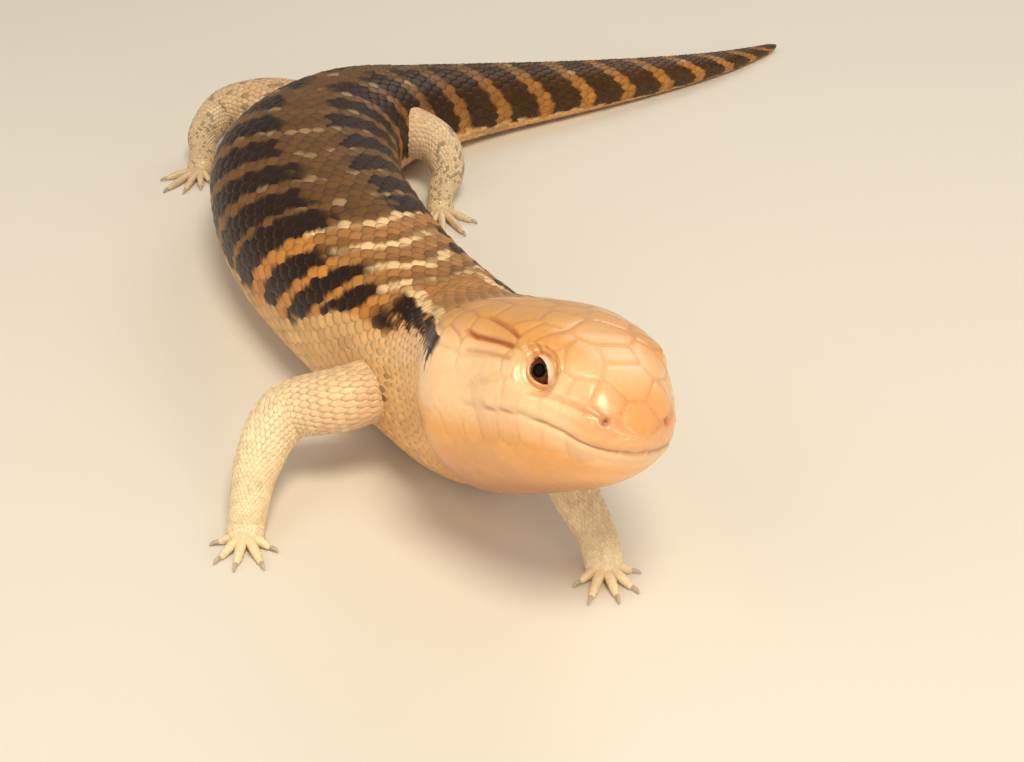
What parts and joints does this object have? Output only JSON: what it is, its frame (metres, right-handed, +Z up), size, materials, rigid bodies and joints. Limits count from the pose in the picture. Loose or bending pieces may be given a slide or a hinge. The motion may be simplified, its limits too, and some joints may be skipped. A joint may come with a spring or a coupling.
{
  "type": "blue tongued skink",
  "caption": "Life-size blue tongued skink, a stout smooth-scaled lizard with a broad head raised, short legs and a tapering tail, resting on its belly.",
  "frame": {"origin": "middle of the footprint's bounding box, on the floor that the belly and feet rest on", "axes": "+Z up; the body lies mostly along Y, its head towards -Y and a little to +X, its tail towards +Y"},
  "size_m": [0.236, 0.3906, 0.0695],
  "materials": {
    "head_skin": "smooth glossy cream-orange horny shields",
    "body_skin": "satin smooth overlapping scales in brown, dark and cream bands",
    "limb_skin": "satin fine scales, grey-cream",
    "eye": "wet dark red-brown eye with a black pupil"
  },
  "bodies": {
    "root": {"head": "head_skin", "lower_jaw": "head_skin", "neck": "body_skin", "chest": "body_skin", "trunk": "body_skin", "hips": "body_skin", "tail_base": "body_skin", "tail_tip": "body_skin", "left_foreleg": "limb_skin", "left_forefoot": "limb_skin", "right_foreleg": "limb_skin", "right_forefoot": "limb_skin", "left_hindleg": "limb_skin", "left_hindfoot": "limb_skin", "right_hindleg": "limb_skin", "right_hindfoot": "limb_skin", "eye_left": "eye", "eye_right": "eye"}
  },
  "joints": []
}
